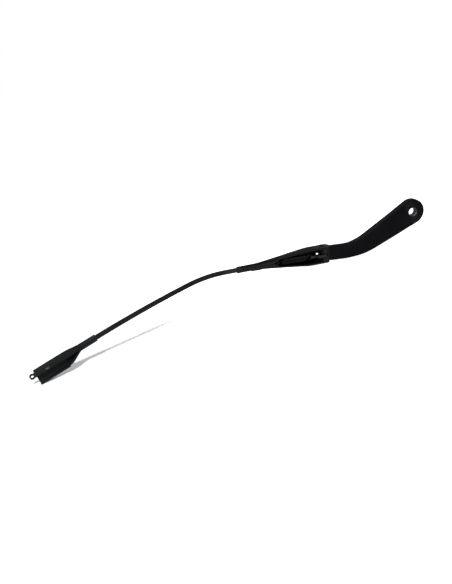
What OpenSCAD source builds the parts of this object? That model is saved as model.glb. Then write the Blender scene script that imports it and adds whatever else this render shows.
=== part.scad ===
// Wiper arm, off the car, lying on its long side.
// Lengths are millimetres and angles are degrees.
// Each piece is drawn as it is fitted: X runs from the spindle bore to the tip,
// Y runs across the arm, and Z points away from the glass. laid() then turns the
// whole arm onto its side, with the origin in the middle of the spindle bore's land.

/* [Spindle boss] */
// Radius of the round end of the head
boss_r = 20.5; // [18.5:0.5:24]
// Height of the boss, from its underside to its top
boss_h = 15; // [14:0.5:18]
// Diameter of the plain land of the spindle bore
bore_d = 11.5; // [9:0.1:12.5]
// Length of the plain land
bore_land = 3; // [2:0.5:4]
// Length of the serrated taper under the land
taper_len = 5; // [3:0.5:6]
// Diameter of the taper where it meets the mouth
taper_d = 12.5; // [12:0.1:14]
// Depth of the chamfer at the mouth of the bore
mouth_depth = 1; // [0.5:0.1:1.5]
// Number of serrations in the taper
serration_count = 36; // [12:6:48]
// Depth of a serration
serration_depth = 0.35; // [0.2:0.05:0.5]
// Diameter of the pocket that takes the spindle nut
pocket_d = 22; // [19:0.5:26]

/* [Head] */
// Angle of the first stretch of the head to the table
head_angle = -19.3; // [-26:0.1:-12]
// Length of the first stretch, from the bore axis
head_run = 80.5; // [60:0.5:100]
// Radius of the bend of the head, along its middle
head_bend_r = 100; // [80:1:140]
// Length from the end of the bend to the shoulder
neck_run = 22.3; // [14:0.1:40]
// Width of the neck
neck_w = 23.6; // [20:0.1:25]
// Height of the neck
neck_h = 13.6; // [12:0.1:14]
// Extra height of the hump along the first stretch
hump = 2; // [0:0.1:4]
// Radius of the outer edges of the head
head_round = 5.2; // [3:0.1:6]
// Radius of the edges of the underside
under_round = 1.6; // [0.8:0.1:2.5]

/* [Pivot] */
// Angle of the pivot's arm side to the table, seen along the spindle
channel_angle = 10.5; // [4:0.1:16]
// Distance from the shoulder of the head to the pivot axis
shoulder_to_pivot = 13.4; // [13:0.1:16]
// Height of the pivot axis over the underside of the boss
pivot_z = 8.5; // [7.5:0.1:9.5]
// How far the arm folds in towards the glass when it is off the car
rest_fold = 10; // [0:0.5:16]
// Diameter of the pivot rivet
rivet_d = 6; // [5:0.1:6.5]
// Diameter of the rivet's heads
rivet_head_d = 10.4; // [8:0.1:12]
// Height of the rivet's heads
rivet_head_h = 1.7; // [1:0.1:2.5]
// Wall of the bushes in the lug
bush_wall = 1; // [0.8:0.1:1.4]
// Diameter of the washers beside the lug
washer_d = 13; // [11:0.5:14]
// Thickness of the washers
washer_t = 1; // [0.5:0.1:1.5]
// Radial clearance of a shaft that turns in a hole
running_gap = 0.05; // [0.02:0.01:0.1]
// Clearance between faces that turn on each other
face_gap = 0.1; // [0.05:0.05:0.2]
// Radius of the end of the lug
lug_r = 7.2; // [6.5:0.1:7.4]

/* [Spring and link] */
// Distance of the anchor pin behind the pivot axis
anchor_back = 3; // [2:0.1:4]
// Distance of the anchor pin under the pivot axis
anchor_down = 8.5; // [8:0.1:9.5]
// Diameter of the anchor pin
anchor_d = 4; // [3.5:0.1:4.5]
// Thickness of the link, across the arm
link_w = 4; // [3:0.1:4.5]
// Distance between the link's two holes
link_len = 23; // [22:0.5:26]
// Width of the link's bar
link_bar = 3.4; // [2.8:0.1:3.8]
// Clearance beside the link in the slot of the lug
slot_gap = 0.8; // [0.4:0.1:1.2]
// Outer diameter of the spring
spring_od = 12; // [10:0.1:12.5]
// Diameter of the spring's wire
wire_d = 2.2; // [1.8:0.1:2.4]
// Gap between two turns at rest
turn_gap = 0.06; // [0.02:0.01:0.2]
// Radius of the spring's flat hook at the link, to the middle of the wire
hook_r = 3.6; // [3.4:0.1:4.2]
// Radius of the spring's upright hook in the rod, to the middle of the wire
far_hook_r = 3.4; // [3:0.1:3.8]
// Length of the wire between a hook and the coil
hook_neck = 3.6; // [3:0.1:6]
// Distance from the pivot axis to the rod's hole for the spring
rod_hook_x = 84.3; // [82:0.1:88]

/* [Retainer channel] */
// Outer width of the channel at the pivot
channel_w = 26.3; // [25:0.1:30]
// Thickness of the channel's sheet
sheet_t = 1.5; // [1.2:0.1:1.8]
// Height of the channel's web over the pivot axis
web_z = 7.5; // [7.4:0.1:9]
// Depth of the channel's edges under the pivot axis
edge_z = 13; // [12.5:0.1:15]
// Length of the parallel stretch, from the pivot axis
parallel_run = 28; // [22:0.5:34]
// Distance from the pivot axis to the middle of the taper
taper_mid = 72; // [66:0.5:76]
// Outer width of the channel at the middle of the taper
mid_w = 17.4; // [16.5:0.1:20]
// Distance from the pivot axis to the closed stretch
closed_from = 92; // [90:0.5:98]
// Distance from the pivot axis to the crimp on the rod
crimp_from = 118; // [112:0.5:124]
// Length of the crimp
crimp_len = 33; // [24:0.5:40]
// Radius of the folds of the sheet, outside, at the web
bend_r = 2.6; // [2.4:0.1:3.2]
// Length over which the edges close in
closing_run = 14; // [8:0.5:20]
// Start of the web, from the pivot axis
web_from = 8.5; // [8:0.1:12]
// Width of the slit between the folded edges
slit_w = 1; // [0.5:0.1:2]
// Turn-in of the open edges of a sheet
hem = 0.6; // [0.5:0.1:1.2]
// Clearance between a crimp and the rod
crimp_gap = 0.03; // [0.02:0.01:0.08]

/* [Rod] */
// Width of the rod's strip
rod_w = 7.2; // [6:0.1:8.5]
// Thickness of the rod's strip
rod_t = 3.2; // [2.8:0.1:3.6]
// Radius of the strip's long edges
rod_edge_r = 0.8; // [0.4:0.1:1.2]
// Depth of the strip's middle under the pivot axis
rod_z = 3.5; // [3.4:0.1:4.5]
// Length of the straight stretch, past the crimp
rod_lead = 21; // [10:0.5:40]
// Radius of the main bend, along the middle
main_bend_r = 206; // [150:1:300]
// Angle of the main bend
main_bend = 17; // [8:0.1:24]
// Radius of the long bow, along the middle
bow_r = 1850; // [1200:10:3000]
// Angle of the long bow
bow = 4.8; // [2:0.1:6.5]
// Radius of the eye at the tip
tip_eye_r = 4.3; // [3.8:0.1:4.8]
// Diameter of the hole in the eye
tip_hole_d = 4.2; // [3:0.1:4.6]
// Distance from the connector's end to the hole in the eye
tip_reach = 4.8; // [4.6:0.1:9]

/* [Blade connector] */
// Length of the sleeve on the rod
sleeve_len = 25; // [18:0.5:34]
// Length of the flare
flare_len = 25; // [20:0.5:34]
// Length of the connector's body
body_len = 48; // [36:0.5:60]
// Thickness of the connector's sheet
shell_t = 1.5; // [1.2:0.1:1.8]
// Distance of the body's upper wall from the rod's middle
body_up = 7.5; // [6.5:0.1:9]
// Distance of the body's lower wall from the rod's middle
body_down = 15; // [12:0.1:18]
// Step out of the lower wall where the body starts
wall_step = 2; // [0:0.1:3]
// Depth of the body's walls under the rod's middle
body_depth = 7.4; // [6:0.1:10]
// Diameter of the connector's rivet
tip_rivet_d = 4; // [3:0.1:4.5]
// Diameter of that rivet's heads
tip_rivet_head_d = 6.6; // [5.5:0.1:7]
// Height of that rivet's heads
tip_rivet_head_h = 1.3; // [0.8:0.1:2]
// Distance from the rivet to the connector's end
tip_rivet_back = 19; // [12:0.5:30]

/* [Hidden] */

// Overshoot of a cut past the face that it opens
cut = 1;
// Faces on a hull's rounds, on a rivet's head and on a plain round
round_fn = 32;
head_fn = 48;
smooth_fn = 96;
// Steps of a small rounded edge and of a large one
edge_steps = 3;
round_steps = 6;
// Smallest fold that a sheet's section keeps, inside
least_fold = 0.25;
head_black = [0.045, 0.047, 0.052];
steel_black = [0.13, 0.13, 0.135];
zinc = [0.62, 0.63, 0.65];

// Shoulder of the head, where the lug starts: the end of the bent middle line
bend_end_angle = channel_angle;
bend_start = head_run * [cos(head_angle), sin(head_angle)];
bend_centre = bend_start + head_bend_r * [-sin(head_angle), cos(head_angle)];
bend_end = bend_centre + head_bend_r * [sin(bend_end_angle), -cos(bend_end_angle)];
along_channel = [cos(channel_angle), sin(channel_angle)];
shoulder = bend_end + neck_run * along_channel;
pivot = shoulder + shoulder_to_pivot * along_channel;
bend_len = head_bend_r * (bend_end_angle - head_angle) * PI / 180;
head_len = head_run + bend_len + neck_run;

// Widths stacked across the pivot
inner_w = channel_w - 2 * sheet_t;
lug_w = inner_w - 2 * washer_t - 2 * face_gap;
bush_d = rivet_d + 2 * running_gap + 2 * bush_wall;
slot_w = link_w + 2 * slot_gap;
cheek_w = (lug_w - slot_w) / 2;

// Anchor pin in the neck's frame, and the link's rest angle towards the spring's far hook
anchor = [-anchor_back, -anchor_down];
coil_r = (spring_od - wire_d) / 2;
link_eye_r = anchor_d / 2 + 1.7;
spring_hole_d = wire_d * 2;
spring_eye_r = spring_hole_d / 2 + 1.3;

// Level of the rod's faces, and the crimp that holds them
rod_top = -rod_z + rod_t / 2;
rod_under = -rod_z - rod_t / 2;
crimp_half = rod_w / 2 + crimp_gap + sheet_t;
crimp_top = rod_top + crimp_gap + sheet_t;
crimp_under = rod_under - crimp_gap - sheet_t;
crimp_fold = rod_edge_r + crimp_gap + sheet_t;
channel_end = crimp_from + crimp_len;

// Place of the rod's hole for the spring, the spring's far hook in it, and the link's rest angle
rod_hole_d = 2 * wire_d;
far_hook = [rod_hook_x - far_hook_r, -rod_z];
rod_start = rod_hook_x - rod_hole_d / 2 - 2.6;
anchor_swing = turn(anchor, rest_fold);
link_angle = atan2(far_hook[1] - anchor_swing[1], far_hook[0] - anchor_swing[0]);
link_end = anchor_swing + turn([link_len, 0], link_angle);
spring_len = norm(far_hook - link_end);
coil_pitch = wire_d + turn_gap;
coil_room = spring_len - 2 * hook_r - far_hook_r - 2 * hook_neck;
coil_turns = floor(coil_room / coil_pitch - 0.25);

// Points of an arc about a centre, from one angle to another, ends included
function arc(centre, radius, from, to, steps) = [
    for (i = [0:steps])
        let (a = from + (to - from) * i / steps)
        centre + radius * [cos(a), sin(a)]
];

// Smooth step from 0 to 1, and the share of the way from one place to another
function ease(t) = let (u = min(1, max(0, t))) u * u * (3 - 2 * u);
function share(x, from, to) = min(1, max(0, (x - from) / (to - from)));
function mix(a, b, t) = a + (b - a) * t;
function turn(p, a) = [p[0] * cos(a) - p[1] * sin(a), p[0] * sin(a) + p[1] * cos(a)];

// Closed solid through rings of points, which run clockwise seen along the rings' travel
module skin(rings) {
    n = len(rings[0]);
    sides = [
        for (k = [0:len(rings) - 2])
            for (i = [0:n - 1])
                let (a = k * n + i, b = k * n + (i + 1) % n)
                for (face = [[a, b + n, b], [a, a + n, b + n]]) face
    ];
    first = [for (i = [0:n - 1]) i];
    last = [for (i = [n - 1:-1:0]) (len(rings) - 1) * n + i];
    polyhedron([for (ring = rings) for (p = ring) p], concat(sides, [first, last]), convexity = 20);
}

// Turns the fitted arm onto its side, with the middle of the spindle's land at the origin
land_mid = mouth_depth + taper_len + bore_land / 2;
module laid() {
    rotate([90, 0, 180]) translate([0, 0, -land_mid]) children();
}

// Frame of the head at the pivot, before the arm's fold
module at_neck() {
    translate([pivot[0], pivot[1], pivot_z]) rotate([0, 0, channel_angle]) children();
}

// Frame of the arm that swings, folded in by rest_fold
module at_swing() {
    at_neck() rotate([0, rest_fold, 0]) children();
}

// Lays a side view, drawn with X along and Y up, across the arm with a width
module across(width) {
    rotate([90, 0, 0]) linear_extrude(width, center = true) children();
}

// Middle line of the head in plan, [x, y, heading], at a length s from the bore axis
function head_at(s) =
    s <= head_run
    ? [s * cos(head_angle), s * sin(head_angle), head_angle]
    : s <= head_run + bend_len
    ? let (a = head_angle + (s - head_run) / head_bend_r * 180 / PI)
      [bend_centre[0] + head_bend_r * sin(a), bend_centre[1] - head_bend_r * cos(a), a]
    : let (d = s - head_run - bend_len)
      [bend_end[0] + d * along_channel[0], bend_end[1] + d * along_channel[1], bend_end_angle];

// The head tapers from the boss to the neck, and its height has a low hump on the way
taper_to = head_run + bend_len * 0.72;
neck_under = pivot_z - neck_h / 2;
function rise(s) = ease((s - boss_r) / (head_len - boss_r));
function head_half(s) = mix(boss_r, neck_w / 2, min(1, s / taper_to));
function head_under(s) = neck_under * rise(s);
function head_top(s) = mix(boss_h, neck_under + neck_h, rise(s)) + hump * sin(180 * rise(s));

// Outline of the head in plan, drawn in by an inset: down one side, round the boss, up the other
side_steps = 18;
function head_side(inset, side) = [
    for (k = [side_steps:-1:1])
        let (s = head_len * k / side_steps, m = head_at(s), h = side * (head_half(s) - inset))
        [m[0] - h * sin(m[2]), m[1] + h * cos(m[2]), s]
];
function head_outline(inset) = concat(
    head_side(inset, 1),
    [
        for (i = [0:24])
            let (a = head_angle + 90 + 180 * i / 24, r = boss_r - inset) [r * cos(a), r * sin(a), 0]
    ],
    let (back = head_side(inset, -1)) [for (i = [len(back) - 1:-1:0]) back[i]]
);

// Boss and beam as outlines stacked from the underside to the top, with rounded edges
module head_beam() {
    under = arc([under_round, under_round], under_round, 270, 180, edge_steps);
    top = arc([head_round, -head_round], head_round, 180, 90, round_steps);
    rings = concat(
        [for (u = under) [for (p = head_outline(u[0])) [p[0], p[1], head_under(p[2]) + u[1]]]],
        [for (u = top) [for (p = head_outline(u[0])) [p[0], p[1], head_top(p[2]) + u[1]]]]
    );
    n = len(rings[0]);
    layers = len(rings);
    walls = [
        for (k = [0:layers - 2])
            for (i = [0:n - 1])
                let (a = k * n + i, b = k * n + (i + 1) % n)
                for (face = [[a, b + n, b], [a, a + n, b + n]]) face
    ];
    // The underside and the top, as strips from side to side
    half = floor((n - 1) / 2);
    floor_strips = [
        for (i = [0:half - 1])
            let (j = n - 1 - i)
            for (face = j - 1 > i + 1 ? [[i, i + 1, j], [i + 1, j - 1, j]] : [[i, i + 1, j]]) face
    ];
    shift = (layers - 1) * n;
    top_strips = [
        for (face = floor_strips) [face[2] + shift, face[1] + shift, face[0] + shift]
    ];
    polyhedron([for (ring = rings) for (p = ring) p], concat(walls, floor_strips, top_strips), convexity = 6);
}

// Hole for the spindle: chamfered mouth, serrated taper, plain land and the nut's pocket
module spindle_hole() {
    land_from = mouth_depth + taper_len;
    mouth_d = taper_d + 2 * mouth_depth;
    translate([0, 0, -cut]) cylinder(h = boss_h + 2 * cut, d = bore_d, $fn = smooth_fn);
    translate([0, 0, -cut])
        cylinder(h = mouth_depth + cut, d1 = mouth_d + 2 * cut, d2 = taper_d, $fn = smooth_fn);
    translate([0, 0, mouth_depth])
        cylinder(h = taper_len, d1 = taper_d, d2 = bore_d, $fn = smooth_fn);
    translate([0, 0, land_from + bore_land]) cylinder(h = boss_h, d = pocket_d, $fn = smooth_fn);
    translate([0, 0, -cut]) linear_extrude(land_from - 1 + cut) polygon([
        for (i = [0:2 * serration_count - 1])
            let (a = 180 * i / serration_count, r = (taper_d + (i % 2 * 2 - 1) * serration_depth) / 2)
            [r * cos(a), r * sin(a)]
    ]);
}

// Side view of the lug: round at the pivot, with a lobe down to the anchor pin
lug_root_inset = 0.6;
module lug_side() {
    hull() {
        circle(r = lug_r, $fn = round_fn);
        translate(anchor) circle(d = anchor_d + 4, $fn = round_fn);
        translate([-shoulder_to_pivot - cut, -neck_h / 2 + lug_root_inset])
            square([cut, neck_h - 2 * lug_root_inset]);
    }
}

// Die-cast head: boss, bent beam and forked lug in one piece
module mounting_head() color(head_black) laid() difference() {
    union() {
        head_beam();
        at_neck() across(lug_w) lug_side();
    }
    spindle_hole();
    slot_back = anchor_back + link_eye_r + slot_gap;
    at_neck() {
        across(lug_w + 2 * cut) circle(d = bush_d, $fn = smooth_fn);
        across(lug_w + 2 * cut) translate(anchor) circle(d = anchor_d, $fn = smooth_fn);
        across(slot_w)
            translate([-slot_back, -edge_z - 2 * cut])
                square([slot_back + lug_r + cut, 2 * (edge_z + 2 * cut)]);
    }
}

// A bush in one cheek of the lug, pressed in flush with both of its faces
module bush(side) color(zinc) laid() at_neck()
    translate([0, side * (slot_w + cheek_w) / 2, 0])
        across(cheek_w) difference() {
            circle(d = bush_d, $fn = smooth_fn);
            circle(d = rivet_d + 2 * running_gap, $fn = smooth_fn);
        }
module head_bush_lower() bush(-1);
module head_bush_upper() bush(1);

// Cross pin in the lug that holds the link
module anchor_pin() color(zinc) laid() at_neck()
    across(lug_w) translate(anchor) circle(d = anchor_d, $fn = smooth_fn);

// A washer between the lug and a wall of the channel
module washer(side) color(zinc) laid() at_swing()
    translate([0, side * (inner_w - washer_t) / 2, 0])
        across(washer_t) difference() {
            circle(d = washer_d, $fn = smooth_fn);
            circle(d = rivet_d, $fn = smooth_fn);
        }
module pivot_washer_lower() washer(-1);
module pivot_washer_upper() washer(1);

// A domed head that stands on the face at z = 0 and points along +Z
module rivet_head(diameter, height) {
    dome_r = (pow(diameter / 2, 2) + pow(height, 2)) / (2 * height);
    intersection() {
        translate([0, 0, height - dome_r]) sphere(r = dome_r, $fn = head_fn);
        cylinder(h = height, d = diameter, $fn = head_fn);
    }
}

// Rivet on the pivot axis, headed outside both walls of the channel
module pivot_rivet() color(steel_black) laid() at_swing() {
    across(channel_w) circle(d = rivet_d, $fn = smooth_fn);
    for (side = [0, 1])
        mirror([0, side, 0]) translate([0, channel_w / 2, 0]) rotate([-90, 0, 0])
            rivet_head(rivet_head_d, rivet_head_h);
}

// Section of a folded sheet in Y and Z: a web at the top, two walls, and lips folded in under.
// span is [low, high] across, level is [under, top], lip is where the two lips end.
function sheet_section(span, level, lip, thick, web_fold, lip_fold) =
    let (
        web_in = max(least_fold, web_fold - thick),
        lip_out = max(2 * least_fold, lip_fold),
        lip_in = max(least_fold, lip_fold - thick),
        low = span[0] + thick,
        high = span[1] - thick,
        under = level[0] + thick,
        top = level[1] - thick
    )
    concat(
        [[lip[1], level[0]]],
        arc([span[1] - lip_out, level[0] + lip_out], lip_out, -90, 0, edge_steps),
        arc([span[1] - web_fold, level[1] - web_fold], web_fold, 0, 90, edge_steps),
        arc([span[0] + web_fold, level[1] - web_fold], web_fold, 90, 180, edge_steps),
        arc([span[0] + lip_out, level[0] + lip_out], lip_out, 180, 270, edge_steps),
        [[lip[0], level[0]], [lip[0], under]],
        arc([low + lip_in, under + lip_in], lip_in, 270, 180, edge_steps),
        arc([low + web_in, top - web_in], web_in, 180, 90, edge_steps),
        arc([high - web_in, top - web_in], web_in, 90, 0, edge_steps),
        arc([high - lip_in, under + lip_in], lip_in, 0, -90, edge_steps),
        [[lip[1], under]]
    );

// Stations of the channel along the arm, and its section at each
web_mid = 4.6;
edge_mid = -9.2;
function channel_half(x) =
    lookup(x, [[parallel_run, channel_w / 2], [taper_mid, mid_w / 2], [crimp_from, crimp_half]]);
function channel_top(x) =
    lookup(x, [[parallel_run, web_z], [taper_mid, web_mid], [crimp_from, crimp_top]]);
function channel_under(x) =
    lookup(x, [[parallel_run, -edge_z], [taper_mid, edge_mid], [crimp_from, crimp_under]]);
function channel_section(x) =
    let (
        half = channel_half(x),
        closed = ease(share(x, closed_from - closing_run, closed_from)),
        lip_y = mix(half - sheet_t - hem, slit_w / 2, closed)
    )
    sheet_section(
        [-half, half], [channel_under(x), channel_top(x)], [-lip_y, lip_y], sheet_t,
        mix(bend_r, crimp_fold, share(x, taper_mid, crimp_from)), mix(2 * least_fold, crimp_fold, closed)
    );

// Side view of the ears: round about a point behind and under the pivot
ear_back = 2.2;
ear_r = (web_z + edge_z) / 2;
ear_end = -ear_back - ear_r;
module ear_side() {
    translate([-ear_back, (web_z - edge_z) / 2]) circle(r = ear_r, $fn = smooth_fn);
    translate([-ear_back, -edge_z - cut])
        square([channel_end + ear_back + cut, edge_z + web_z + 2 * cut]);
}

// Folded channel: ears at the pivot, open under the spring, crimped on the rod
module retainer_channel() color(steel_black) laid() at_swing() difference() {
    intersection() {
        closing = [for (i = [0:6]) closed_from - closing_run * (1 - i / 6)];
        stations = concat(
            [ear_end - cut, parallel_run, mix(parallel_run, taper_mid, 0.5), taper_mid],
            closing, [crimp_from, channel_end]
        );
        skin([for (x = stations) [for (p = channel_section(x)) [x, p[0], p[1]]]]);
        across(channel_w + 2 * cut) ear_side();
    }
    // Opening over the lug
    translate([ear_end - cut, -inner_w / 2, 0])
        cube([web_from - ear_end + cut, inner_w, web_z + cut]);
    across(channel_w + 2 * cut) circle(d = rivet_d, $fn = smooth_fn);
}

// Section of the rod's strip: a flat bar with rounded long edges
function strip_section() =
    let (y = rod_w / 2 - rod_edge_r, z = rod_t / 2 - rod_edge_r)
    concat(
        arc([y, -z], rod_edge_r, -90, 0, edge_steps), arc([y, z], rod_edge_r, 0, 90, edge_steps),
        arc([-y, z], rod_edge_r, 90, 180, edge_steps), arc([-y, -z], rod_edge_r, 180, 270, edge_steps)
    );

// Middle line of the rod in the swing frame, [x, y, heading], at a length s past the pivot:
// straight, the main bend, the long bow, then straight through the connector
rod_straight = channel_end + rod_lead;
main_bend_len = main_bend_r * main_bend * PI / 180;
bow_len = bow_r * bow * PI / 180;
function after_bend(start, r, a) =
    let (turned = turn([r * sin(a), -r * (1 - cos(a))], start[2]))
    [start[0] + turned[0], start[1] + turned[1], start[2] - a];
bend_out = after_bend([rod_straight, 0, 0], main_bend_r, main_bend);
bow_out = after_bend(bend_out, bow_r, bow);
function rod_at(s) =
    s <= rod_straight
    ? [s, 0, 0]
    : s <= rod_straight + main_bend_len
    ? after_bend([rod_straight, 0, 0], main_bend_r, (s - rod_straight) / main_bend_r * 180 / PI)
    : s <= rod_straight + main_bend_len + bow_len
    ? after_bend(bend_out, bow_r, (s - rod_straight - main_bend_len) / bow_r * 180 / PI)
    : let (d = turn([s - rod_straight - main_bend_len - bow_len, 0], bow_out[2]))
      [bow_out[0] + d[0], bow_out[1] + d[1], bow_out[2]];

// Frame where the rod enters the connector: X along the rod, Z away from the glass
module at_tip() {
    at_swing() translate([bow_out[0], bow_out[1], -rod_z]) rotate([0, 0, bow_out[2]]) children();
}

connector_len = sleeve_len + flare_len + body_len;
tip_len = connector_len + tip_reach;
rivet_x = connector_len - tip_rivet_back;

// Strip with its bend and long bow, a hole for the spring and an eye at the tip
module arm_rod() color(steel_black) laid() difference() {
    union() {
        bend_steps = 14;
        bow_steps = 12;
        ends = rod_straight + main_bend_len + bow_len;
        stations = concat(
            [rod_start],
            [for (i = [0:bend_steps]) rod_straight + main_bend_len * i / bend_steps],
            [for (i = [1:bow_steps]) rod_straight + main_bend_len + bow_len * i / bow_steps],
            [ends + tip_len]
        );
        at_swing() skin([
            for (s = stations)
                let (m = rod_at(s))
                [
                    for (p = strip_section())
                        [m[0] - p[0] * sin(m[2]), m[1] + p[0] * cos(m[2]), p[1] - rod_z]
                ]
        ]);
        at_tip() translate([tip_len, 0, -rod_t / 2])
            cylinder(h = rod_t, r = tip_eye_r, $fn = smooth_fn);
    }
    at_tip() {
        translate([tip_len, 0, -rod_t]) cylinder(h = 2 * rod_t, d = tip_hole_d, $fn = smooth_fn);
        translate([rivet_x, 0, -rod_t]) cylinder(h = 2 * rod_t, d = tip_rivet_d, $fn = smooth_fn);
    }
    at_swing() translate([rod_hook_x, 0, -rod_z - rod_t])
        cylinder(h = 2 * rod_t, d = rod_hole_d, $fn = smooth_fn);
}

// Section of the connector at a distance from the start of its sleeve
shell_half = rod_w / 2 + crimp_gap + shell_t;
shell_top = rod_t / 2 + crimp_gap + shell_t;
shell_fold = rod_edge_r + crimp_gap + shell_t;
body_from = sleeve_len + flare_len;
function shell_section(x) =
    let (
        flared = share(x, sleeve_len, body_from),
        stepped = share(x, body_from, body_from + wall_step / 2),
        low = -mix(shell_half, body_down - wall_step, flared) - wall_step * stepped,
        high = mix(shell_half, body_up, ease(flared)),
        under = -mix(shell_top, body_depth, ease(flared * 1.4)),
        closed = 1 - ease(flared * 3)
    )
    sheet_section(
        [low, high], [under, shell_top],
        [
            mix(low + shell_t + hem, -slit_w / 2, closed),
            mix(high - shell_t - hem, slit_w / 2, closed)
        ],
        shell_t, shell_fold, mix(2 * least_fold, shell_fold, closed)
    );

// Connector: a sleeve crimped on the rod, a flare and an open body for the blade's adapter
module blade_connector() color(steel_black) laid() at_tip() difference() {
    flare_steps = 9;
    stations = concat(
        [0],
        [for (i = [0:flare_steps]) sleeve_len + flare_len * i / flare_steps],
        [body_from + wall_step / 2, connector_len]
    );
    skin([for (x = stations) [for (p = shell_section(x)) [x, p[0], p[1]]]]);
    translate([rivet_x, 0, 0]) cylinder(h = shell_top + cut, d = tip_rivet_d, $fn = smooth_fn);
}

// Rivet through the connector's web and the rod
module connector_rivet() color(zinc) laid() at_tip() translate([rivet_x, 0, 0]) {
    translate([0, 0, -rod_t / 2])
        cylinder(h = rod_t / 2 + shell_top, d = tip_rivet_d, $fn = smooth_fn);
    translate([0, 0, shell_top]) rivet_head(tip_rivet_head_d, tip_rivet_head_h);
    translate([0, 0, -rod_t / 2]) mirror([0, 0, 1])
        rivet_head(tip_rivet_head_d, tip_rivet_head_h);
}

// Link, drawn from the anchor pin: it dips round the pivot rivet and rises to the spring's hook
link_dip = -(rivet_d / 2 + link_bar / 2 + 0.6);
dip_from = anchor_back + 1;
dip_to = dip_from + rivet_d + 2;
module link_bar_between(a, b, ra, rb) {
    hull() {
        translate(a) circle(r = ra, $fn = round_fn);
        translate(b) circle(r = rb, $fn = round_fn);
    }
}
module link_side() {
    r = link_bar / 2;
    link_bar_between([0, 0], [dip_from, link_dip], link_eye_r, r);
    link_bar_between([dip_from, link_dip], [dip_to, link_dip], r, r);
    link_bar_between([dip_to, link_dip], [dip_to + link_bar, 0], r, r);
    link_bar_between([dip_to + link_bar, 0], [link_len, 0], r, spring_eye_r);
}

module at_link() {
    at_swing() translate([anchor_swing[0], 0, anchor_swing[1]])
        rotate([0, -link_angle, 0]) children();
}

module spring_link() color(zinc) laid() at_link() difference() {
    across(link_w) link_side();
    across(link_w + cut) circle(d = anchor_d + 2 * running_gap, $fn = smooth_fn);
    across(link_w + cut) translate([link_len, 0]) circle(d = spring_hole_d, $fn = smooth_fn);
}

// A wire swept along points, its section carried along without twist
module wire_tube(path, sides) {
    n = len(path);
    tangents = [
        for (k = [0:n - 1])
            let (t = path[min(n - 1, k + 1)] - path[max(0, k - 1)]) t / norm(t)
    ];
    // Each side vector is the one before it, made square to the path again
    side_vectors = [
        for (
            k = 0, v = cross(tangents[0], [0, 0, 1]);
            k < n;
            k = k + 1,
            v = k < n ? let (w = v - (v * tangents[k]) * tangents[k]) w / norm(w) : v
        ) v
    ];
    skin([
        for (k = [0:n - 1])
            let (v = side_vectors[k] / norm(side_vectors[k]), w = cross(tangents[k], v))
            [
                for (i = [0:sides - 1])
                    let (a = 360 * i / sides)
                    path[k] + wire_d / 2 * (cos(a) * v + sin(a) * w)
            ]
    ]);
}

// Points of a smooth bridge between two points that leave along given directions
function bridge(a, out_a, b, in_b, steps) = [
    for (i = [1:steps - 1])
        let (t = i / steps, u = 1 - t)
        u * u * u * a + 3 * u * u * t * (a + out_a) + 3 * u * t * t * (b - in_b) + t * t * t * b
];

// Tension spring, one wire from hook to hook, drawn on the line from the far hook back to
// the link: a flat hook through the link's eye, a close coil, an upright hook through the rod
module tension_spring() color(steel_black) laid()
    at_swing() translate([far_hook[0], 0, far_hook[1]]) rotate([0, -link_angle, 0]) {
        open_angle = 40;
        steps = 12;
        turn_steps = coil_turns * steps + steps / 4;
        coil_to = -far_hook_r - hook_neck;
        coil_from = coil_to - coil_pitch * turn_steps / steps;
        near_x = -spring_len + hook_r;
        near = [
            for (i = [0:10])
                let (a = -open_angle - (360 - 2 * open_angle) * i / 10)
                [near_x + hook_r * cos(a), hook_r * sin(a), 0]
        ];
        far = [
            for (i = [0:10])
                let (a = 180 - open_angle - (360 - 2 * open_angle) * i / 10)
                [far_hook_r * cos(a), 0, far_hook_r * sin(a)]
        ];
        coil = [
            for (i = [0:turn_steps])
                let (a = 180 + 360 * i / steps)
                [coil_from + coil_pitch * i / steps, coil_r * cos(a), coil_r * sin(a)]
        ];
        near_out = 2 * [sin(open_angle), cos(open_angle), 0];
        far_in = 2 * [sin(open_angle), 0, cos(open_angle)];
        wire_tube(
            concat(
                near,
                bridge(near[10], near_out, coil[0], 2.5 * [0.2, 0, -1], 5),
                coil,
                bridge(coil[turn_steps], 2.5 * [0.2, 1, 0], far[0], far_in, 5),
                far
            ),
            6
        );
    }

mounting_head();
head_bush_lower();
head_bush_upper();
anchor_pin();
pivot_rivet();
pivot_washer_lower();
pivot_washer_upper();
retainer_channel();
arm_rod();
blade_connector();
connector_rivet();
spring_link();
tension_spring();
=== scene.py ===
"""Wiper arm lying on a white table: materials, detail pieces, lights and camera."""
import math

import bmesh
import bpy
from mathutils import Matrix, Vector, geometry


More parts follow.
